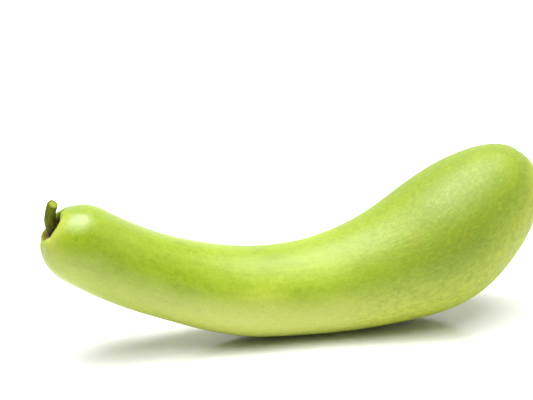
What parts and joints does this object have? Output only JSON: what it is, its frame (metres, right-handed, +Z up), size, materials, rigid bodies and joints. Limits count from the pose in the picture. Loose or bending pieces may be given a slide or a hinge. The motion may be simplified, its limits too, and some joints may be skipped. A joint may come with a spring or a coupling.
{
  "type": "bottle gourd",
  "caption": "Long club-shaped bottle gourd as picked, curved up at both ends, with its short cut stem in a shallow hollow; it rests on a small flat ground spot on its belly.",
  "frame": {"origin": "on the flat ground spot that the fruit rests on, right under its centre of mass", "axes": "+Z up from the surface it rests on, +X along the fruit towards the fat blossom end, +Y across it, away from the side that the picture shows"},
  "size_m": [0.3672, 0.0977, 0.1282],
  "materials": {
    "gourd_skin": "waxy light yellow-green rind with fine pale flecks, soft lengthwise streaks and a soft broad gloss",
    "gourd_stem": "fibrous ribbed green-brown stalk with a pale yellow-green slanted cut"
  },
  "bodies": {
    "root": {"fruit": "gourd_skin", "stem": "gourd_stem"}
  },
  "joints": []
}
